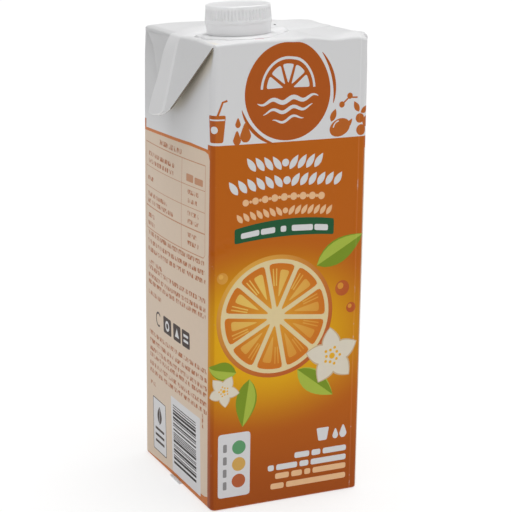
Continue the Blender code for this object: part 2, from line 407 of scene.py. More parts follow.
def stroke(ink, path, width, taper=False):
    """A line of even or tapering width along the path."""
    left, right = [], []
    last = len(path) - 1
    for k, (x, z) in enumerate(path):
        x0, z0 = path[max(k - 1, 0)]
        x1, z1 = path[min(k + 1, last)]
        length = hypot(x1 - x0, z1 - z0)
        half = width / 2
        if taper:
            half *= 0.12 + 0.88 * sin(pi * k / last) ** 0.7
        ox, oz = -(z1 - z0) / length * half, (x1 - x0) / length * half
        left.append((x + ox, z + oz))
        right.append((x - ox, z - oz))
    paint(ink, left + right[::-1])


def arc_path(x, z, radius, first, last, steps=24):
    return [ray(x, z, radians(first + (last - first) * t))(radius) for t in shares(steps)]


def row_curves(x0, x1, *curves):
    """Heights along a row, each given at the row's left end, middle and right end."""
    def through(left, middle, right):
        def height(x):
            t = (2 * x - x0 - x1) / (x1 - x0)
            return middle + t * (right - left) / 2 + t * t * ((left + right) / 2 - middle)

        return height

    return [through(*levels) for levels in curves]


def block_row(ink, x0, x1, bottoms, tops, widths, gap, radius):
    """A row of rounded blocks of the given relative widths, on a gently curved line."""
    low, high = row_curves(x0, x1, bottoms, tops)
    unit = (x1 - x0 - gap * (len(widths) - 1)) / sum(widths)
    x = x0
    for width in widths:
        end = x + width * unit
        if width > 0.3:
            points = [(x, low(x)), (end, low(end)), (end, high(end)), (x, high(x))]
            paint(ink, rounded(points, radius))
        x = end + gap


def cells(x0, x1, bottoms, tops, count):
    """Number, middle, foot and height of each even cell of a row."""
    low, high = row_curves(x0, x1, bottoms, tops)
    for k in range(count):
        x = x0 + (x1 - x0) * (k + 0.5) / count
        yield k, x, low(x), high(x) - low(x)


def garland(ink, x0, x1, bottoms, tops, count):
    """A row of leaves that lean out from a disc in the middle."""
    pitch = (x1 - x0) / count
    for k, x, foot, tall in cells(x0, x1, bottoms, tops, count):
        if 2 * k + 1 == count:
            disc(ink, x, foot + tall / 2, min(pitch, tall) * 0.42, 20)
            continue
        out = 1 if 2 * k > count else -1
        lean = radians(LEAF_LEAN)
        start = x - out * tall / tan(lean) / 2
        angle = 90 - out * (90 - LEAF_LEAN)
        leaf(ink, start, foot, tall / sin(lean), pitch * 0.72, angle)


def beads(ink, x0, x1, bottoms, tops, count):
    """A row of large and small discs in turn."""
    for k, x, foot, tall in cells(x0, x1, bottoms, tops, count):
        disc(ink, x, foot + tall / 2, tall * (0.40 if k % 2 == 0 else 0.17), 20)


def arched_field(ink, x0, x1, bottoms, tops, radius):
    """A field between two gentle curves, with rounded corners."""
    low, high = row_curves(x0, x1, bottoms, tops)
    xs = evenly(x0, x1, (x1 - x0) / 10)
    points = [(x, low(x)) for x in xs] + [(x, high(x)) for x in reversed(xs)]
    paint(ink, rounded(points, radius, 2))


def wedge(ink, place, near, far, angles, radius):
    """A rounded slice of a ring, with place from ray()."""
    paint(ink, rounded([place(near)] + [place(far, a) for a in angles], radius, 2))


def citrus_wheel(x, z, radius, petals, tilt):
    """A cut fruit: peel, pith and wedges with their lighter parts."""
    disc("peel", x, z, radius, 64)
    disc("pith", x, z, radius * 0.93, 64)
    spread = pi / petals * 0.86
    for k in range(petals):
        place = ray(x, z, tilt + tau * k / petals)
        angles = [spread * t for t in (-1, -0.5, 0, 0.5, 1)]
        wedge("flesh", place, radius * 0.12, radius * 0.865, angles, radius * 0.06)
        inner = [place(radius * 0.30)]
        inner += [place(radius * 0.76, spread * t) for t in (-0.72, -0.2, 0.1)]
        inner += [place(radius * 0.52, spread * 0.1)]
        paint("flesh_light", rounded(inner, radius * 0.05, 2))
        for step in (0.42, 0.7):
            line = [place(radius * r, spread * step) for r in (0.5, 0.78)]
            stroke("flesh_light", line, radius * 0.02)


def emblem():
    """A plain disc with a half citrus wheel over wave strokes, and two arcs outside."""
    x, z, radius = -2.25, 175.9, 19.1
    disc("deep_orange", x, z, radius, 72)
    for first, last in ((-14, 44), (196, 256)):
        stroke("deep_orange", arc_path(x, z, radius + 2.0, first, last), 1.5, taper=True)
    wheel_z = z + 1.6
    for k in range(5):
        place = ray(x, wheel_z, radians(18 + 36 * k))
        wedge("title_white", place, 2.2, 9.6, [radians(a) for a in (-15, -7, 0, 7, 15)], 0.8)
    stroke("title_white", arc_path(x, wheel_z, 11.7, 2, 178, 28), 1.0)
    longest = 13.6
    for row, (half, width) in enumerate(((longest, 1.9), (11.0, 1.5), (7.0, 1.1))):
        path = []
        for t in evenly(-1.0, 1.0, 1 / 16):
            wave = 0.85 * sin(t * half / longest * 3 * pi)
            path.append((x + t * half, z - 2.6 - 3.9 * row + wave + t))
        stroke("title_white", path, width, taper=True)


def drop(ink, x, z, size):
    right = [(0.75, 0.55), (0.9, -0.15), (0.5, -0.85)]
    points = [(0.0, 2.1)] + right + [(0.0, -1.0)] + [(-a, b) for a, b in reversed(right)]
    paint(ink, smooth_loop([(x + a * size, z + b * size) for a, b in points], 4))


def left_icons():
    """A glass with a straw, and drops."""
    glass = [(-36.3, 157.4), (-30.5, 157.4), (-29.4, 168.4), (-37.4, 168.4)]
    paint("icon_orange", rounded(glass, 0.9))
    stroke("board_white", [(-36.8, 166.6), (-29.9, 166.6)], 0.6)
    stroke("icon_orange", [(-33.0, 168.0), (-30.8, 173.6), (-28.8, 174.2)], 0.9)
    disc("board_white", -34.3, 162.6, 1.5, 20)
    for place in ((-24.6, 158.0, 1.9), (-20.9, 159.7, 2.6), (-24.2, 164.4, 1.3)):
        drop("icon_orange", *place)


def right_icons():
    """A lemon, berries and leaves that run over the right edge."""
    shine = arc_path(21.5, 160.4, 3.0, 100, 175, 10)
    tip = smooth_loop([(25.4, 162.6), (27.2, 163.9), (26.9, 162.0), (25.8, 160.6)], 3)
    twig = [(22.6, 170.2), (25.6, 172.8), (29.6, 172.6)]
    shapes = (
        (disc, 21.5, 160.6, 4.9, 36, 0.74, 0.35), (paint, tip), (leaf, 17.4, 163.2, 5.6, 2.7, 68),
        (disc, 31.6, 159.0, 2.3, 24), (disc, 34.4, 162.4, 2.3, 24), (disc, 30.9, 163.9, 2.0, 24),
        (leaf, 31.2, 166.2, 5.4, 2.6, 28), (leaf, 30.4, 166.6, 5.0, 2.5, 118), (stroke, twig, 0.7),
        (disc, 22.3, 170.0, 1.3, 18), (disc, 26.0, 173.4, 1.3, 18),
    )
    for draw, *values in shapes:
        draw("icon_orange", *values)
    stroke("board_white", shine, 0.5)


def titles():
    """Rows of leaves and beads, and the banner under them."""
    rows = (
        (garland, "title_white", -20.2, 13.9, (144.9, 144.9, 144.9), (150.6, 150.6, 150.6), 9),
        (garland, "title_white", -28.0, 23.2, (135.4, 137.8, 136.6), (141.1, 143.0, 141.9), 13),
        (beads, "cream", -21.7, 14.6, (130.4, 131.6, 130.7), (133.9, 135.5, 134.6), 17),
        (garland, "cream", -24.7, 18.8, (123.8, 125.9, 124.4), (127.4, 129.8, 128.3), 15),
        (arched_field, "banner_green", -25.4, 19.7, (115.4, 117.1, 115.8), (121.6, 124.4, 122.6), 0.8),
    )
    for draw, *values in rows:
        draw(*values)
    low, high = (117.4, 119.0, 117.7), (119.7, 121.5, 120.3)
    widths = (1.9, 1.5, 0.25, 0.6, 0.25, 2.3, 1.5)
    block_row("title_white", -22.6, 16.9, low, high, widths, 0.7, 0.8)


def blossom(x, z, size, turn):
    """A plain five-petalled flower."""
    for ink, reach, width in (("petal_shade", 1.04, 0.74), ("petal", 1.0, 0.64)):
        for k in range(5):
            leaf(ink, x, z, size * reach, size * width, turn + 72 * k)
    for k in range(10):
        place = ray(x, z, radians(turn + 36 * k + 12))
        disc("stamen", *place(size * (0.30 if k % 2 else 0.22)), size * 0.055, 10)
    disc("stamen", x, z, size * 0.11, 16)


def fruit_picture():
    """A generic cut citrus fruit with leaves and blossoms."""
    leaf("leaf_dark", -24.0, 60.5, 13.0, 8.0, 168, "leaf_light")
    leaf("leaf_dark", 12.0, 103.0, 25.0, 10.5, 28, "leaf_light")
    leaf("leaf_light", 4.0, 58.5, 22.0, 10.0, -38, "leaf_dark")
    leaf("leaf_dark", -18.0, 57.0, 21.0, 9.5, 262, "leaf_light")
    citrus_wheel(*FRUIT_PLACE, 26.5, 10, 0.2)
    blossom(20.5, 62.5, 12.5, 24)
    blossom(-29.5, 53.0, 7.0, 60)
    for x, z, size in ((24.5, 92.0, 3.4), (29.0, 83.0, 2.3), (-30.5, 101.5, 2.4)):
        disc("peel", x, z, size, 28)
        disc("flesh_light", x - size * 0.25, z + size * 0.3, size * 0.42, 16)


def foot_print():
    """The white label with its discs, a glass and drops, and four lines of blocks."""
    bar("label_white", -31.9, -17.2, 5.5, 34.0, 1.6)
    for level, ink in ((27.4, "dot_green"), (19.9, "dot_yellow"), (12.4, "dot_orange")):
        disc(ink, -22.4, level, 3.1, 28)
    for k in range(4):
        bar("soft_grey", -29.6, -27.9, 9.0 + 5.6 * k, 12.6 + 5.6 * k, 0.5)
    glass = [(15.0, 24.7), (19.0, 24.7), (20.0, 30.5), (14.0, 30.5)]
    paint("title_white", rounded(glass, 0.6))
    for x, size in ((23.2, 1.5), (26.9, 1.9)):
        drop("title_white", x, 24.7 + size, size)
    lines = (
        (3.7, 19.7, "title_white", (1.0, 0.6, 1.6)), (-8.8, 15.5, "title_white", (0.4, 1.4, 0.6, 2.4)),
        (-5.3, 11.5, "cream", (0.9, 0.7, 0.4, 2.2)), (-7.4, 7.0, "cream", (0.7, 3.2)),
    )
    for start, level, ink, widths in lines:
        ends = (level - 1.25,) * 3, (level + 1.35,) * 3
        block_row(ink, start, 28.6, *ends, widths, 1.1, 0.9)


def front_print():
    for draw in (emblem, left_icons, right_icons, titles, fruit_picture, foot_print):
        draw()


def greeked(rng, x0, x1, level, height=1.9):
    """One line of small print: dashes of uneven lengths."""
    x = x0
    while x < x1 - 0.8:
        length = min(rng.uniform(1.8, 8.0), x1 - x)
        bar("small_print", x, x + length, level - height / 2, level + height / 2, height * 0.25)
        x += length + rng.uniform(0.75, 1.0)


def side_fields():
    """Beige field with its orange line."""
    line = [(-36.2, 152.5), (-28, 153.0), (-10, 153.8), (19, 154.6), (36.2, 154.2)]
    border = [(-38.7, LOW_END), (34.3, LOW_END), (34.3, 151.0), (36.2, 151.0)]
    paint("line_orange", border + line[::-1] + [(-38.7, 152.4)])
    field = [(-38.7, 1.0), (31.2, 4.3), (34.2, 5.2), (36.0, 150.0), (34.8, 152.4), (32.0, 153.1)]
    field += [(x, z - 1.35) for x, z in line[-2::-1]]
    paint("beige", field + [(-38.7, 151.2)])


def table_print():
    """The ruled table, small print, signs and bar code of the seen side."""
    rng = random.Random(7)
    greeked(rng, -15, 11, 149.2, 2.2)
    rules = [(-34, z - 0.4, 32.5, z + 0.3, width)
             for z, width in ((147.0, 0.42), (136.5, 0.3), (127.5, 0.3), (118.7, 0.55))]
    rules += [
        (-34, 147.0, -34, 109.5, 0.3), (-34, 109.5, -32.6, 108.2, 0.3), (32.5, 147.2, 32.5, 110.2, 0.3),
        (32.5, 110.2, 31.2, 108.8, 0.3), (-32.6, 108.2, 31.2, 108.8, 0.42), (11, 147.0, 11, 108.6, 0.3),
    ]
    for x0, z0, x1, z1, width in rules:
        stroke("brown", [(x0, z0), (x1, z1)], width)
    rows = ((142, -30, 3), (138.7, -30, 2), (131, -31, -23), (124, -31, -5), (120.8, -31, 2),
            (114.4, -31, -21), (110.8, -31, -21))
    for level, x0, x1 in rows:
        greeked(rng, x0, x1, level)
    bar("brown", 15.5, 22, 138.2, 141.4, 0.5)
    bar("brown", 23.2, 30.5, 138.2, 141.0, 0.5)
    for level in (134, 130.3, 125, 121.6, 115.8, 112.4):
        greeked(rng, 17, 27, level)
    paragraphs = (
        (-31.5, ((106.5, 33), (102.6, 33), (99, 33), (93.3, -12), (90.8, 33), (87, 33), (84, 33),
                 (79, -13))),
        (-31, ((60.5, 34), (56.7, 34), (53, 34), (50, 34), (46, 34), (42.5, 34), (36.7, -24))),
    )
    for start, lines in paragraphs:
        for level, end in lines:
            greeked(rng, start, end, level, 2.0)
    pictograms()
    barcode()


def pictograms():
    """Plain signs: an open ring, and three tiles with a ring, a triangle and two bars."""
    for x0, x1 in ((-11.5, -2), (0.4, 8.6), (10, 18)):
        bar("dark_brown", x0, x1, 65.5, 73, 1.0)
    disc("label_white", -6.8, 69.2, 2.4, 20)
    disc("dark_brown", -6.8, 69.2, 1.3, 16)
    stroke("dark_brown", arc_path(-18, 69.3, 3.0, 40, 300, 14), 0.9)
    paint("label_white", [(2.2, 67.3), (6.8, 67.3), (4.5, 71.4)])
    for z in (67.6, 70.0):
        bar("label_white", 11.6, 16.4, z, z + 1.2, 0.3)


def barcode():
    """A made-up bar code, and the outlined box beside it."""
    rng = random.Random(11)
    bar("dark_brown", -28, -12, 5.6, 30.7, 0.6)
    bar("label_white", -27.55, -12.45, 6.0, 30.3, 0.5)
    leaf("dark_brown", -20, 19.0, 8.6, 5.4, 90)
    stroke("label_white", [(-20, 19.5), (-20, 26.5)], 0.35)
    for level in (16.4, 13.4, 10.4):
        bar("dark_brown", -25.4, -14.6, level - 0.6, level + 0.6, 0.3)
    bar("label_white", -5, 27, 2.6, 38.0, 0.4)
    z = 7.0
    while z < 34.6:
        width = rng.choice((0.45, 0.45, 0.8, 1.2))
        bar("bar_black", -3, 22.5, z, min(z + width, 35.0), 0.02)
        z += width + rng.choice((0.38, 0.38, 0.7, 1.0))
    bar("small_print", 29, 30.6, 34.5, 41.0, 0.3)


def plain_side_print():
    """The unseen side: a row of blocks, paragraphs and a small fruit with two leaves."""
    rng = random.Random(23)
    block_row("brown", -20, 20, (142.0,) * 3, (146.2,) * 3, (1.0, 1.4, 0.8, 1.2, 1.0), 1.0, 1.2)
    for k in range(6):
        greeked(rng, -27, 27 - 14 * (k == 5), 134.0 - 4.2 * k)
    for x, angle in ((-1, 128), (1, 52)):
        leaf("leaf_brown", x, 84.0, 21.0, 11.0, angle, "brown")
    disc("line_orange", 0, 80.5, 7.5, 40)
    disc("beige", -2, 83.0, 2.2, 20)
    for k in range(8):
        greeked(rng, -31, 31 - 20 * (k in (3, 7)), 62.0 - 4.0 * k)
    stroke("brown", [(-31, 26.0), (31, 26.0)], 0.35)
    for k in range(3):
        greeked(rng, -31, 31 - 12 * (k == 2), 21.5 - 4.0 * k)


def draw_print():
    """Ground colours of the whole strip, and then every panel on its wall."""
    last = SEAM + GIRTH
    grounds = [("board_white", SEAM, last, HIGH_END), ("orange", -WRAP, WRAP, WHITE_LINE)]
    grounds.append(("orange", BACK_MIDDLE - WRAP, last, WHITE_LINE))
    grounds.append(("orange", SEAM, BACK_MIDDLE + WRAP - GIRTH, WHITE_LINE))
    for ink, low, high, level in grounds:
        paint(ink, [(low, LOW_END), (high, LOW_END), (high, level), (low, level)])
    left, right = LEFT_START + FLAT_Y, RIGHT_START + FLAT_Y
    panels = ((left, side_fields), (right, side_fields), (left, table_print), (right, plain_side_print),
              (0.0, front_print), (BACK_MIDDLE, front_print))
    for middle, draw in panels:
        first = len(PRINT)
        draw()
        PRINT[first:] = [(ink, [(x + middle, z) for x, z in loop]) for ink, loop in PRINT[first:]]


# Materials

class Surface:
    """A procedural material with short names for its nodes; x, y and z are in millimetres."""

    def __init__(self, name, roughness, gloss=0.14):
        self.material = bpy.data.materials.new(name)
        self.material.use_nodes = True
        self.tree = self.material.node_tree
        self.set("Roughness", roughness)
        self.set("Specular IOR Level", gloss)
        self.place = self.node("ShaderNodeTexCoord").outputs["Object"]
        scaled_up = {0: self.place, "Scale": 1 / MM}
        large = self.node("ShaderNodeVectorMath", scaled_up, operation="SCALE").outputs[0]
        self.x, self.y, self.z = self.node("ShaderNodeSeparateXYZ", {0: large}).outputs

    def feed(self, socket, value):
        """Links another node's output to the socket, or sets the socket to a constant."""
        if isinstance(value, bpy.types.NodeSocket):
            self.tree.links.new(value, socket)
        else:
            socket.default_value = value

    def set(self, name, value):
        self.feed(self.tree.nodes["Principled BSDF"].inputs[name], value)

    def node(self, kind, inputs=None, **settings):
        node = self.tree.nodes.new(kind)
        for key, value in settings.items():
            setattr(node, key, value)
        for key, value in (inputs or {}).items():
            self.feed(node.inputs[key], value)
        return node

    def maths(self, operation, *values):
        return self.node("ShaderNodeMath", dict(enumerate(values)), operation=operation).outputs[0]

    def times(self, first, second):
        return self.maths("MULTIPLY", first, second)

    def plus(self, first, second):
        return self.maths("ADD", first, second)

    def size(self, value):
        return self.maths("ABSOLUTE", value)

    def blend(self, share, first, second, mode="MIX"):
        node = self.node("ShaderNodeMix", data_type="RGBA", blend_type=mode)
        for key, value in (("Factor", share), ("A", first), ("B", second)):
            self.feed([s for s in node.inputs if s.name == key and s.enabled][0], value)
        return [s for s in node.outputs if s.enabled][0]

    def noise(self, scale, detail=2.0, place=None):
        inputs = {"Vector": place or self.place, "Scale": scale, "Detail": detail}
        return self.node("ShaderNodeTexNoise", inputs).outputs["Fac"]

    def falloff(self, value, low, high):
        """0 at low, 1 at high, smooth between."""
        inputs = {"Value": value, "From Min": low, "From Max": high, "To Min": 0.0, "To Max": 1.0}
        node = self.node("ShaderNodeMapRange", inputs, interpolation_type="SMOOTHSTEP")
        return node.outputs["Result"]

    def ellipse(self, across, up, centre, radii):
        """Distance from the centre, 1 on the ellipse."""
        total = 0.0
        for value, middle, radius in zip((across, up), centre, radii):
            share = self.maths("DIVIDE", self.plus(value, -middle), radius)
            total = self.plus(self.times(share, share), total)
        return self.maths("SQRT", total)

    def front(self):
        """Place across the front or the back, from its own middle, and height."""
        return self.times(self.times(self.x, self.maths("SIGN", self.y)), -1.0), self.z

    def bump(self, height, strength, distance, **more):
        inputs = {"Height": height, "Strength": strength, "Distance": distance, **more}
        return self.node("ShaderNodeBump", inputs).outputs[0]


def linear(colour):
    """Linear colour from 0 to 255 display values."""
    parts = [c / 255 for c in colour]
    return [c / 12.92 if c <= 0.04045 else ((c + 0.055) / 1.055) ** 2.4 for c in parts]


# White of each face in the photograph, as linear light, and the board's own white
FRONT_LIGHT = 0.571
SIDE_LIGHT = 0.515
BOARD_WHITE = 0.80
SHEEN = 0.008


def print_colour(colour, light=FRONT_LIGHT):
    """The ink's own colour, from how it looks on a face lit as strongly as given."""
    share = BOARD_WHITE / (light - SHEEN)
    return (*[min(max((c - SHEEN) * share, 0.004), 0.9) for c in linear(colour)], 1.0)


def scaled(colour, share):
    return (*[c * share for c in colour[:3]], 1.0)


# Painted highlight added along the fold line by the right edge, warm over worn inks and grey over whites;
# bare fibre shows in rubbed flecks
WARM_CREASE_HIGHLIGHT = (0.06, 0.03, 0.02, 1.0)
GREY_CREASE_HIGHLIGHT = (0.05, 0.05, 0.05, 1.0)
BARE_FIBRE = (0.74, 0.70, 0.66, 1.0)


def wear_highlight_and_edge_shade(s):
    """Shares of rubbed flecks, of the painted highlight along the fold line by the right edge with its
    worn specks, and of the painted shade on the turned upright edges.
    """
    x, y = s.size(s.x), s.size(s.y)
    upright = s.times(s.falloff(x, 32.8, 34.5), s.falloff(y, 36.8, 38.5))
    edge = s.maths("MAXIMUM", upright, s.times(s.falloff(s.z, 1.6, 0.4), 0.8))
    flecks = s.times(edge, s.falloff(s.noise(420.0, 4.0), 0.62, 0.80))
    # Painted highlight: a thin lighter line along the fold near the front's right edge, with worn specks
    # on it
    line = s.falloff(s.size(s.plus(s.x, -CREASE_X)), 0.4, 0.1)
    line = s.times(line, s.falloff(s.y, -37.0, -38.0))
    dots = s.times(line, s.falloff(s.noise(300.0, 3.0), 0.60, 0.72))
    # Painted shade on the rounded upright edges, where the board turns away from the light
    turn = s.times(s.falloff(x, 33.3, 34.0), s.falloff(y, 34.5, 35.2))
    return s.maths("MAXIMUM", flecks, dots), line, turn


def ink(name, colour, roughness=0.40, vary=0.03, paint_with=None, worn=True, edge=None):
    """A printed colour on the board, over its fibre and soft unevenness."""
    s = Surface(name, roughness)
    mottle = s.noise(420.0, 3.0)
    if paint_with:
        base = paint_with(s, colour)
    else:
        base = s.blend(mottle, scaled(colour, 1 - vary), scaled(colour, 1 + vary))
    rubbed, line, turn = wear_highlight_and_edge_shade(s)
    # Painted shade: the rounded upright edges darkened
    if edge:
        base = s.blend(turn, base, edge, "MULTIPLY")
    # Painted highlight along the fold line by the right edge
    base = s.blend(line, base, WARM_CREASE_HIGHLIGHT if worn else GREY_CREASE_HIGHLIGHT, "ADD")
    if worn:
        base = s.blend(s.times(rubbed, 0.4), base, BARE_FIBRE)
    s.set("Base Color", base)
    s.set("Roughness", s.maths("MULTIPLY_ADD", mottle, 0.10, roughness - 0.05))
    wide = s.bump(s.noise(70.0, 1.5), 0.25, 0.0006)
    s.set("Normal", s.bump(s.noise(1100.0), 0.10, 0.0001, Normal=wide))
    return s.material


FRUIT_PLACE = (-6.5, 83.0)
SHINE_PLACE = (-14.0, 92.0)
GLOW_PLACE = (-10.0, 74.0)
GLOW_RADII = (62.0, 44.0)
GLOW_FOOT = 56.0


def orange_field(s, colour):
    """The orange ground: golden glow low in the middle, deeper towards the foot."""
    across, up = s.front()
    ground = s.blend(s.falloff(up, 0.0, GLOW_FOOT), print_colour((147, 72, 22)), colour)
    glow = s.falloff(s.ellipse(across, up, GLOW_PLACE, GLOW_RADII), 1.0, 0.25)
    glow = s.times(glow, s.plus(s.times(s.noise(60.0), 0.12), 0.92))
    return s.blend(s.maths("MINIMUM", glow, 1.0), ground, print_colour((206, 156, 24)))


def radial(centre, inner, outer, radius):
    """A colour that runs from inner to outer away from a point of the front."""
    def painter(s, colour):
        share = s.falloff(s.ellipse(*s.front(), centre, (radius, radius)), 0.0, 1.0)
        return s.blend(share, inner, outer)

    return painter


def painted_ear_shade(s, colour):
    """The ear's white, with painted shade: a little greyer behind the seal strip."""
    return s.blend(s.falloff(s.y, 4.0, 9.0), colour, scaled(colour, 0.93))


def painted_gap_shadow(s, colour):
    """White board, with painted shadows on the left wall: warmer in the gap beside the ear and greyer
    under its tip.
    """
    across = s.times(s.plus(s.y, -SHADOW_GAP_PLACE[0]), SHADOW_GAP_LEAN[0])
    up = s.times(s.plus(s.z, -SHADOW_GAP_PLACE[1]), SHADOW_GAP_LEAN[1])
    wall = s.falloff(s.x, -30.0, -33.0)
    # Painted shadow under the ear's tip: the white made greyer there
    under = s.times(s.falloff(s.z, 150.0, 166.0), s.falloff(s.y, -22.0, 0.0))
    base = s.blend(s.times(under, wall), colour, scaled(colour, 0.86))
    # Painted warm shadow in the gap along the ear's slanted edge
    away = s.size(s.plus(across, up))
    for value, low, high in ((s.y, -37.5, -35.0), (s.z, 162.5, 170.0), (away, 8.5, 0.0)):
        wall = s.times(wall, s.falloff(value, low, high))
    return s.blend(wall, base, (0.80, 0.735, 0.60, 1.0))


def dark_dot(s, colour):
    """White board with the one small dark spot on the strip behind the closure."""
    away = s.ellipse(s.x, s.y, DOT_PLACE, (0.65, 0.8))
    return s.blend(s.falloff(away, 1.0, 0.6), colour, (0.10, 0.10, 0.11, 1.0))


def tiny_strokes(s, colour):
    """Small print seen from a distance: upright strokes with the ground between them."""
    inputs = {0: s.place, 1: (1.0, 1.0, 0.35)}
    narrow = s.node("ShaderNodeVectorMath", inputs, operation="MULTIPLY").outputs[0]
    strokes = s.falloff(s.noise(1500.0, 1.0, narrow), 0.40, 0.56)
    return s.blend(strokes, print_colour(SIDE_INKS["beige"], SIDE_LIGHT), colour)


FRONT_INKS = {
    "cream": (212, 169, 128), "banner_green": (39, 83, 54), "soft_grey": (128, 126, 126),
    "dot_green": (88, 140, 98), "dot_yellow": (189, 149, 81), "dot_orange": (163, 87, 54),
    "leaf_dark": (112, 134, 40), "leaf_light": (152, 168, 66), "petal": (200, 192, 176),
    "petal_shade": (182, 160, 128), "stamen": (206, 156, 44), "pith": (204, 186, 142),
}
SIDE_INKS = {
    "beige": (187, 170, 152), "brown": (166, 122, 94), "leaf_brown": (170, 140, 112),
    "dark_brown": (58, 46, 42), "bar_black": (34, 29, 28),
}


def make_inks():
    inks = {}
    p = print_colour

    def add(name, *values, **named):
        inks[name] = ink(name, *values, **named)

    board = (BOARD_WHITE, BOARD_WHITE, 0.805, 1.0)
    # The board's white carries the painted shadows beside the left ear and the painted shade on the
    # rounded upright edges
    add("board_white", board, 0.42, paint_with=painted_gap_shadow, worn=False, edge=WHITE_EDGE_SHADE)
    add("strip_white", board, 0.42, paint_with=dark_dot, worn=False)
    # The ears' white is a darker copy of the board's white: painted shade, with more painted shade behind
    # the strip
    add("shaded_ear_white", (0.735, 0.735, 0.74, 1.0), 0.42, paint_with=painted_ear_shade, worn=False)
    # A dark brown sheet on the ears' under faces and slanted rims: painted shade for the gap under each
    # ear
    add("gap_shade_brown", (0.20, 0.165, 0.13, 1.0), 0.8, 0.06, worn=False)
    add("mark_pink", p((208, 160, 168), 0.75), worn=False)
    add("title_white", (0.78, 0.78, 0.78, 1.0), 0.40, 0.015)
    add("label_white", (0.77, 0.76, 0.77, 1.0), 0.42, 0.015)
    # The orange inks carry the painted shade on the rounded upright edges
    add("orange", p((170, 90, 24)), 0.38, paint_with=orange_field, edge=ORANGE_EDGE_SHADE)
    add("deep_orange", p((160, 81, 33)), edge=ORANGE_EDGE_SHADE)
    add("icon_orange", p((168, 92, 40)), edge=ORANGE_EDGE_SHADE)
    add("line_orange", p((172, 96, 34), SIDE_LIGHT))
    add("small_print", p((150, 92, 58), SIDE_LIGHT), 0.45, paint_with=tiny_strokes)
    for name, colour in FRONT_INKS.items():
        add(name, p(colour))
    for name, colour in SIDE_INKS.items():
        add(name, p(colour, SIDE_LIGHT), 0.45)
    gold, amber, rust = p((208, 164, 70)), p((190, 112, 40)), p((168, 82, 42))
    fades = (
        ("peel", SHINE_PLACE, gold, rust, 42.0),
        ("flesh", FRUIT_PLACE, p((200, 140, 48)), p((186, 104, 36)), 26.0),
        ("flesh_light", SHINE_PLACE, p((214, 176, 92)), p((198, 134, 52)), 36.0),
    )
    for name, *fade in fades:
        add(name, amber, paint_with=radial(*fade))
    return inks


def plastic(name, colour, roughness):
    """Moulded white plastic with a soft sheen and a faintly uneven skin."""
    s = Surface(name, roughness, 0.6)
    s.set("Base Color", s.blend(s.noise(300.0), scaled(colour, 0.985), scaled(colour, 1.01)))
    s.set("Subsurface Weight", 0.25)
    s.set("Subsurface Radius", (1.0, 1.0, 1.0))
    s.set("Subsurface Scale", 0.0015)
    s.set("Normal", s.bump(s.noise(500.0), 0.1, 0.0001))
    return s.material


# Meshes

def placed(name, data):
    """A new object in the scene that holds the data."""
    item = bpy.data.objects.new(name, data)
    bpy.context.scene.collection.objects.link(item)
    return item


def new_piece(name, points, faces, materials, chosen=None, normals=None):
    """A mesh object from points in millimetres."""
    mesh = bpy.data.meshes.new(name)
    mesh.from_pydata([tuple(c * MM for c in point) for point in points], [], faces)
    for material in materials:
        mesh.materials.append(material)
    if chosen:
        mesh.polygons.foreach_set("material_index", chosen)
    mesh.shade_smooth()
    if normals:
        mesh.normals_split_custom_set_from_vertices(normals)
    mesh.update()
    return placed(name, mesh)


def cuts_between(a, b, count=None):
    """Points along a straight edge, close enough to follow the filled shape."""
    steps = shares(count or max(1, ceil(dist(a, b) / CELL)))
    return [tuple(p + (q - p) * t for p, q in zip(a, b)) for t in steps]


class Flat:
    """Points, edges and shapes of one flat layout."""

    def __init__(self):
        self.points, self.edges, self.shapes = [], [], []

    def shape(self, loop):
        first = len(self.points)
        for a, b in zip(loop, loop[1:] + loop[:1]):
            self.points.extend(cuts_between(a, b)[:-1])
        self.shapes.append(list(range(first, len(self.points))))

    def line(self, a, b):
        first = len(self.points)
        self.points.extend(cuts_between(a, b))
        self.edges.extend((k, k + 1) for k in range(first, len(self.points) - 1))

    def triangles(self):
        """Points, and triangles over all shapes with the index of the top-most shape on each."""
        points = [Vector(p) for p in self.points]
        result = delaunay_2d_cdt(points, self.edges, self.shapes, 0, 0.00001)
        found = [(tuple(t), max(covers)) for t, covers in zip(result[2], result[5]) if covers]
        return [tuple(v) for v in result[0]], *zip(*found)


class Skin:
    """Joins several surfaces at their shared points."""

    def __init__(self):
        self.points, self.normals, self.faces, self.chosen = [], [], [], []
        self.seen = {}

    def add(self, place, flat_points, triangles, materials, flip=False):
        index = []
        for a, b in flat_points:
            point = place(a, b)
            key = tuple(round(c, 3) for c in point)
            if key not in self.seen:
                self.seen[key] = len(self.points)
                self.points.append(point)
                normal = surface_normal(place, a, b)
                self.normals.append(-normal if flip else normal)
            index.append(self.seen[key])
        for triangle, material in zip(triangles, materials):
            corners = [index[i] for i in triangle]
            if len(set(corners)) == 3:
                self.faces.append(corners[::-1] if flip else corners)
                self.chosen.append(material)


def wall_columns():
    """Places round the pack where the rounded upright edges need a crease line."""
    columns = []
    for start in (SEAM - ARC / 2, -FLAT_X - ARC, FLAT_X, RIGHT_START + 2 * FLAT_Y, SEAM + GIRTH - ARC / 2):
        places = [start + ARC * t for t in shares(ARC_CELLS)]
        columns += [p for p in places if SEAM - 0.001 < p < SEAM + GIRTH + 0.001]
    return columns + [CREASE_X + 0.3 * k for k in (-1, 0, 1, 2)]


def wall_rows():
    rows = []
    for low in (LOW_END + RING, HEIGHT - FOLD):
        rows += [low + FOLD_TURN * t for t in shares(FOLD_CELLS)]
    return rows


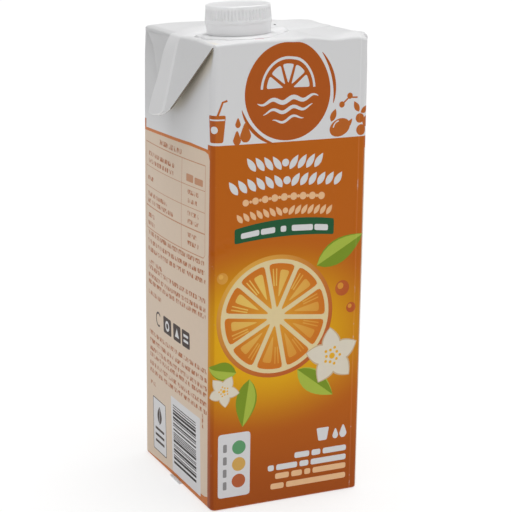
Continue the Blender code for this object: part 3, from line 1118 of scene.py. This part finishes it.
def make_skin(inks):
    """The board: walls with their print, top panel and underside in one closed skin."""
    draw_print()
    flat = Flat()
    for _, loop in PRINT:
        flat.shape(loop)
    last = SEAM + GIRTH
    for p in wall_columns():
        flat.line((p, LOW_END), (p, HIGH_END))
    for v in wall_rows():
        flat.line((SEAM, v), (last, v))
    across, up = evenly(SEAM, last, CELL), evenly(FOLD, HEIGHT - FOLD, CELL)
    flat.points.extend((p, v) for v in (LOW_END, HIGH_END) for p in across)
    flat.points.extend((p, v) for p in (SEAM, last) for v in up)
    flat.points.extend((p, v) for p in across[1:-1] for v in up[1:-1])
    points, triangles, owner = flat.triangles()
    names = list(inks)
    skin = Skin()
    skin.add(skin_point, points, triangles, [names.index(PRINT[k][0]) for k in owner])
    for place, level, flip in ((top_point, HIGH_END, False), (bottom_point, LOW_END, True)):
        ring = sorted({round(p, 6) for p, v in points if abs(v - level) < 0.0005})[:-1]
        panel = Flat()
        panel.shape([tuple(skin_point(p, level).xy) for p in ring])
        if not flip:
            panel.shape(PINK_MARK)
        xs, ys = (evenly(4 - half, half - 4, CELL) for half in (HALF_X, HALF_Y))
        panel.points.extend((x, y) for x in xs for y in ys)
        for a, b in underside_lines() if flip else ():
            panel.line(a, b)
        flat_points, faces, covers = panel.triangles()
        chosen = [names.index("mark_pink" if k else "board_white") for k in covers]
        skin.add(place, flat_points, faces, chosen, flip)
    materials = [inks[n] for n in names]
    return new_piece("carton_skin", skin.points, skin.faces, materials, skin.chosen, skin.normals)


def underside_lines():
    """Edges of the two bare panels and the foot of their small steps."""
    lines = []
    for side, inner in BARE_PANELS:
        for step in (0.0, 0.25, 0.5):
            half_x = HALF_X - RECESS_RIM - 1.9 * step
            outer = side * (HALF_Y - RECESS_RIM - step)
            tip = inner + side * 1.9 * step
            corners = [(-half_x, outer), (half_x, outer), (0.0, tip)]
            lines += [(corners[k], corners[(k + 1) % 3]) for k in range(3)]
    return lines


def point_in(loop, x, y):
    inside = False
    for (ax, ay), (bx, by) in zip(loop, loop[1:] + loop[:1]):
        if (ay > y) != (by > y) and x < (bx - ax) * (y - ay) / (by - ay) + ax:
            inside = not inside
    return inside


def offset_loop(loop, inset):
    """The convex loop moved inwards, corner by corner."""
    result = []
    for a, b, c in zip(loop[-1:] + loop, loop, loop[1:] + loop[:1]):
        sides = [(Vector(q) - Vector(p)).normalized() for p, q in ((a, b), (b, c))]
        n = sum((Vector((-u.y, u.x)) for u in sides), Vector((0.0, 0.0)))
        n /= max(n.length_squared / 2, 0.35)
        result.append((b[0] + n.x * inset, b[1] + n.y * inset))
    return result


def pillow_plate(loop, thickness, cell, place, rim=None, lines=()):
    """A closed plate over a counter-clockwise loop, with a rounded rim.

    place(a, b, w) gives the point at height w, 0 on the upper face and negative below.
    """
    rim = rim or thickness / 2
    flat = Flat()
    flat.shape(loop)
    sides = list(zip(loop, loop[1:] + loop[:1]))
    for a, b in sides:
        flat.points.extend(cuts_between(a, b, max(1, round(dist(a, b) / cell)))[:-1])
    for share in (0.12, 0.4, 1.0):
        inner = offset_loop(loop, rim * share)
        for k in range(len(inner)):
            flat.line(inner[k - 1], inner[k])
    for a, b in lines:
        flat.line(a, b)
    inside = offset_loop(loop, rim * 1.4)
    xs, ys = (evenly(min(values), max(values), cell) for values in zip(*loop))
    flat.points.extend((x, y) for x in xs for y in ys if point_in(inside, x, y))
    points, triangles, _ = flat.triangles()
    result, upper, lower = [], [], []
    for x, y in points:
        away = min(segment_distance(x, y, *a, *b) for a, b in sides)
        share = min(away / rim, 1.0)
        half = thickness / 2 * sqrt(max(1 - (1 - share) ** 2, 0.0))
        upper.append(len(result))
        result.append(place(x, y, half - thickness / 2))
        if away < 0.0005:
            lower.append(upper[-1])
        else:
            lower.append(len(result))
            result.append(place(x, y, -half - thickness / 2))
    faces = [[upper[i] for i in t] for t in triangles]
    faces += [[lower[i] for i in reversed(t)] for t in triangles]
    spots = [[sum(points[i][axis] for i in t) / 3 for axis in (0, 1)] for t in triangles] * 2
    kept = [k for k, face in enumerate(faces) if len(set(face)) == 3]
    return result, [faces[k] for k in kept], [spots[k] for k in kept]


def ear_surface(side, y, s, w):
    """Point on or off the ear's outer face: s down the flap from the top edge, y along it."""
    turn = pi / 2 - EAR_ANGLE
    reach = BEND_RADIUS * tan(turn / 2)
    if s <= -reach:
        angle = 0.0
        out, up = s, -EAR_SINK * ease((-reach - s) / (-EAR_ROOT - reach))
    elif s >= reach:
        angle = turn
        out, up = s * sin(EAR_ANGLE), -s * cos(EAR_ANGLE)
    else:
        angle = turn * (s + reach) / (2 * reach)
        out = -reach + BEND_RADIUS * sin(angle)
        up = BEND_RADIUS * (cos(angle) - 1)
    out += w * sin(angle)
    up += w * cos(angle)
    x = side * (HALF_X + out)
    edge = top_lift(side * (HALF_X - FOLD - RING) if s > -reach else x, y)
    near = ease((y + HALF_Y - s * 0.89) / 9)
    fade = (1 - ease((s - 1) / 25)) * (1 - (1 - near) * ease(s / 3))
    return Vector((x, y, HEIGHT + up + edge * fade))


def make_plate(name, material, *values, **named):
    points, faces, _ = pillow_plate(*values, **named)
    return new_piece(name, points, faces, [material])


EAR_LOOP = (
    (-35.6, EAR_ROOT), (34.2, EAR_ROOT), (35.6, -1.8), (36.1, 0.4), (24.0, 9.0), (9.2, 18.4),
    (3.0, 33.0), (-2.6, 33.6), (-8.5, 31.6), (-12.5, 29.2), (-15.0, 26.8), (-38.0, 1.0), (-37.7, -0.6),
    (-36.9, -1.9),
)


def make_ears(inks):
    pieces = []
    materials = [inks["shaded_ear_white"], inks["gap_shade_brown"]]
    slanted = list(zip(EAR_LOOP[9:11], EAR_LOOP[10:12]))
    for side, name in ((-1, "left"), (1, "right")):
        def place(y, s, w, side=side):
            curl = 0.0
            if y > STRIP_Y0:
                curl = -EAR_CURL * ease((y - 5) / 22) * ease(s / 7)
            belly = EAR_BELLY * sin(y * 0.13 + 0.6) * ease(s / 12)
            groove = exp(-((s - 1.5) / 0.35) ** 2) * ease((y - STRIP_Y1) / 2)
            return ear_surface(side, y, s, w + curl + belly - EAR_GROOVE * groove)

        loop = [(max(y, -36.4) if side > 0 else y, s) for y, s in EAR_LOOP]
        rows = [((-36.2, s), (35.6, s)) for s in (-1.0, -0.5, 0.0, 0.5, 1.0, 1.25, 1.5, 1.75, 2.0)]
        points, faces, spots = pillow_plate(loop, EAR_THICK, 2.0, place, lines=rows)
        if side == 1:
            faces = [f[::-1] for f in faces]
        half = len(faces) // 2
        # Slanted rims and under faces past the bend take the dark brown: painted shade for the gap under
        # the ear
        chosen = []
        for k, spot in enumerate(spots):
            shaded_rim = min(segment_distance(*spot, *a, *b) for a, b in slanted) < 0.15
            chosen.append(1 if shaded_rim or (k >= half and spot[1] > 2.5) else 0)
        pieces.append(new_piece(f"ear_{name}", points, faces, materials, chosen))
    return pieces


def strip_place(g, aside, w):
    """Point of the seal strip: g runs from one ear's end over the top to the other's.

    Where aside is below 0 the strip's foot eases into the panel that it grows from.
    """
    side = -1 if g < 0 else 1
    s = abs(g) - HALF_X
    foot = STRIP_FOOT_TOP + (STRIP_FOOT_EAR - STRIP_FOOT_TOP) * ease((s + 4) / 8)
    over = max(aside, 0.0) / (STRIP_Y1 - STRIP_Y0)
    y = STRIP_Y0 + (aside if aside > 0 else aside * foot) - STRIP_SLANT * max(s, 0.0) * (1 - over)
    press = 1 - 0.8 * exp(-((s + (1.0 if side > 0 else 0.6)) / 2.6) ** 2)
    rise = STRIP_THICK * 0.9 * press * ease((aside + 1.0) / 1.05)
    rise -= 0.12 * ease(-aside * 4 - 3)
    if s < -1.2:
        x = side * (HALF_X + s)
        spread = max(1 - ((x - STRIP_SPRING_X) / (HALF_X + STRIP_SPRING_X)) ** 2, 0.0)
        spring = STRIP_SPRING * over**1.3 * spread * ease((HALF_X - 3.6 - abs(x)) / 1.5)
        return Vector((x, y, HEIGHT + top_lift(x, y) + rise + w + spring))
    ripple = 0.18 * sin(s * 0.33 + side) * over * ease(s / 10)
    stand = 0.45 * over**1.2 * ease((s - 1) / 7)
    return ear_surface(side, y, s, rise + w + ripple + stand)


def make_strip(inks):
    end, width = HALF_X + STRIP_END, STRIP_Y1 - STRIP_Y0
    tip = [(3.6, -1.0), (2.0, 0.5), (0.8, 2.4), (0.0, 5.4), (0.0, width - 0.9), (0.5, width)]
    loop = [(end - back, aside) for back, aside in tip]
    loop += [(-g, aside) for g, aside in reversed(loop)]
    lines = [((-end, aside), (end, aside)) for aside in (-0.85, -0.7, -0.5, -0.3, -0.15, 0.0, 0.3, 0.8)]
    for s in (-1.4, -1.0, -0.6, -0.2, 0.2, 0.6, 1.0, 1.4):
        for g in (-HALF_X - s, HALF_X + s):
            lines.append(((g, -1.0), (g, width)))
    return make_plate("seal_strip", inks["strip_white"], loop, STRIP_THICK, 1.8, strip_place, lines=lines)


def make_foot_tab(inks):
    """End of the bottom fold's strip, which peeps out under the left wall."""
    def place(x, y, w):
        return Vector((x, y, 0.85 + w))

    loop = [(-36.0, -5.6), (-31.0, -5.6), (-31.0, 5.8), (-35.8, 5.8)]
    return make_plate("foot_tab", inks["board_white"], loop, 0.7, 1.5, place, rim=0.25)


def leaning(a, b, z):
    """A point of the upright closure, measured from its axis, where the leaning one has it."""
    aside = a * TILT_WAY[0] + b * TILT_WAY[1]
    rise = z - FLANGE_TOP
    shift = -rise * TILT
    return (SPOUT_X + a + shift * TILT_WAY[0], SPOUT_Y + b + shift * TILT_WAY[1], z + aside * TILT)


def turned(name, rows, steps, materials):
    """A closed body of revolution about the closure's axis; a row is (radius(angle), z)."""
    points = []
    for radius, z in rows:
        for angle in (tau * t for t in shares(steps)[:-1]):
            r = radius(angle) if callable(radius) else radius
            points.append(leaning(r * cos(angle), r * sin(angle), z))
    last = (len(rows) - 1) * steps
    faces = []
    for j in range(0, last, steps):
        for k in range(steps):
            a, b = j + k, j + (k + 1) % steps
            faces.append((a, b, b + steps, a + steps))
    faces += [tuple(range(steps))[::-1], tuple(range(last, last + steps))]
    return new_piece(name, points, faces, materials)


def rib(radius, depth):
    """Radius by angle of a ring of grip ribs."""
    def at(angle):
        wave = (1 - cos(angle * RIB_COUNT)) / 2
        return radius - depth * ease(wave * 1.5 - 0.25)

    return at


def make_cap(white):
    """The screw cap: tapered, with grip ribs that run out under a soft rim."""
    low, high, rim = CAP_FOOT_RADIUS, CAP_HEAD_RADIUS, CAP_RIM
    rows = [(12.4, CAP_LOW), (low - 0.05, CAP_LOW), (low, CAP_LOW + 0.05), (low, LEDGE - 0.1)]
    rows += [(rib(low, 0.05), LEDGE), (rib(low - 0.02, RIB_DEPTH * 0.85), LEDGE + 0.06)]
    rows += [(rib(low - 0.02, RIB_DEPTH), LEDGE + 0.14)]
    for share in (0.3, 0.6, 0.85, 1.0):
        z = LEDGE + 0.25 + share * 3.6
        rows.append((rib(low - 0.02 + (high - low) * share, RIB_DEPTH), z))
    rows += [(rib(high - 0.01, 0.24), 208.75), (rib(high - 0.02, 0.08), 209.0), (high - 0.02, 209.2)]
    for k in range(1, 7):
        turn = pi / 2 * k / 6
        rows.append((high - rim * (1 - cos(turn)), CAP_TOP - rim + rim * sin(turn)))
    rows += [(11.6, CAP_TOP), (11.0, CAP_TOP - 0.09), (5.0, CAP_TOP - 0.12), (0.6, CAP_TOP - 0.12)]
    return turned("cap_shell", rows, RIB_COUNT * 10, [white])


def make_band(white):
    """The tamper band with its upper lip, on small bridges over the flange."""
    top, low = BAND_TOP, BAND_BOTTOM
    rows = [(11.7, top), (11.7, low + 0.3), (11.9, low + 0.05), (12.5, low)]
    rows += [(12.88, low), (12.97, low + 0.09), (13.0, low + 0.7), (13.3, top - 1.3)]
    rows += [(13.52, top - 0.06), (13.48, top), (12.3, top)]
    band = turned("band_ring", rows, 180, [white])
    bm = bmesh.new()
    bm.from_mesh(band.data)
    for k in range(BRIDGES):
        turn = radians(BRIDGE_START + 360 / BRIDGES * k)
        spot = leaning(BRIDGE_RADIUS * cos(turn), BRIDGE_RADIUS * sin(turn), low - 0.05)
        place = Matrix.Translation([c * MM for c in spot])
        shape = Matrix.Diagonal((0.5 * MM, 0.9 * MM, 0.8 * MM, 1.0))
        bmesh.ops.create_cube(bm, size=1.0, matrix=place @ Matrix.Rotation(turn, 4, "Z") @ shape)
    bm.to_mesh(band.data)
    bm.free()
    band.data.shade_smooth()
    band.data.set_sharp_from_angle(angle=radians(40))
    return band


def flange_loop():
    """Outline of the glued plate: a circle with two wings, its lines tangent to it."""
    right, left = [(23.8, 2.6), (23.8, 7.6)], [(-16.4, 8.4), (-16.4, -3.4)]
    back = arc_path(0, 0, FLANGE_RADIUS, 68.5, 121.9, 14)
    return right + back + left + arc_path(0, 0, FLANGE_RADIUS, 211.1, 317.5, 26)


def flange_rise(a, b):
    """The right wing's ramp, the two teeth on the left wing and the falling outer part."""
    ramp = 0.9 * ease((a - 15.5) / 8.0) * ease((b - 2.2) / 5.0)
    wave = abs((b - 2.5) / 6.3 % 1.0 * 2 - 1)
    teeth = 0.6 * ease(1 - wave) * ease((-13.2 - a) / 2.0) * ease((8.4 - b) / 1.2)
    fall = -0.55 * ease((hypot(a, b) - 13.3) / 2.2)
    return ramp + teeth + fall


def make_flange(white):
    def place(a, b, w):
        rise = flange_rise(a, b) * (1 + w / FLANGE_THICK)
        return Vector(leaning(a, b, FLANGE_TOP + w + rise))

    return make_plate("flange_plate", white, flange_loop(), FLANGE_THICK, 0.55, place, rim=0.5)


def make_stage():
    """A plain pale floor."""
    mesh = bpy.data.meshes.new("floor")
    corners = [(x * FLOOR_SIZE, y * FLOOR_SIZE, 0) for x, y in ((-1, -1), (1, -1), (1, 1), (-1, 1))]
    mesh.from_pydata(corners, [], [(0, 1, 2, 3)])
    s = Surface("floor", 0.9, 0.0)
    s.set("Base Color", s.blend(s.noise(4.0, 1.0), (0.33, 0.33, 0.33, 1), (0.35, 0.35, 0.35, 1)))
    s.set("Emission Color", (1.0, 1.0, 1.0, 1.0))
    s.set("Emission Strength", FLOOR_GLOW)
    mesh.materials.append(s.material)
    placed("floor", mesh)


def sun(name, strength, angle, direction):
    light = bpy.data.lights.new(name, "SUN")
    light.energy = strength
    light.angle = radians(angle)
    turn = Vector(direction).to_track_quat("-Z", "Y")
    placed(name, light).rotation_euler = turn.to_euler()


def make_lights():
    world = bpy.data.worlds.new("studio")
    world.use_nodes = True
    background = world.node_tree.nodes["Background"]
    background.inputs["Color"].default_value = (1.0, 1.0, 1.0, 1.0)
    background.inputs["Strength"].default_value = WORLD_LIGHT
    bpy.context.scene.world = world
    for values in SUNS:
        sun(*values)
    bpy.context.scene.view_settings.view_transform = "Standard"


def make_camera():
    """The photograph's viewpoint, solved from the pack's edges."""
    camera = bpy.data.cameras.new("camera")
    camera.sensor_width = CAMERA_SENSOR
    camera.lens = CAMERA_LENS
    place = Matrix.Translation(CAMERA_PLACE)
    for angle, axis in ((CAMERA_AZIMUTH, "Z"), (pi / 2 - CAMERA_HEIGHT_ANGLE, "X"), (CAMERA_ROLL, "Z")):
        place @= Matrix.Rotation(angle, 4, axis)
    item = placed("camera", camera)
    item.matrix_world = place
    bpy.context.scene.camera = item


def main():
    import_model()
    inks = make_inks()
    white = plastic("white_plastic_gloss", (0.93, 0.93, 0.94), 0.36)
    skin = make_skin(inks)
    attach(skin, "root")
    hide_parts("carton")
    for piece in make_ears(inks) + [make_strip(inks), make_foot_tab(inks)]:
        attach(piece, "root")
    closure = ((make_cap, "cap"), (make_band, "tamper_band"), (make_flange, "spout_flange"))
    for make_piece, node in closure:
        piece = make_piece(white)
        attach(piece, "root")
        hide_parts(node)
    make_stage()
    make_lights()
    make_camera()


main()
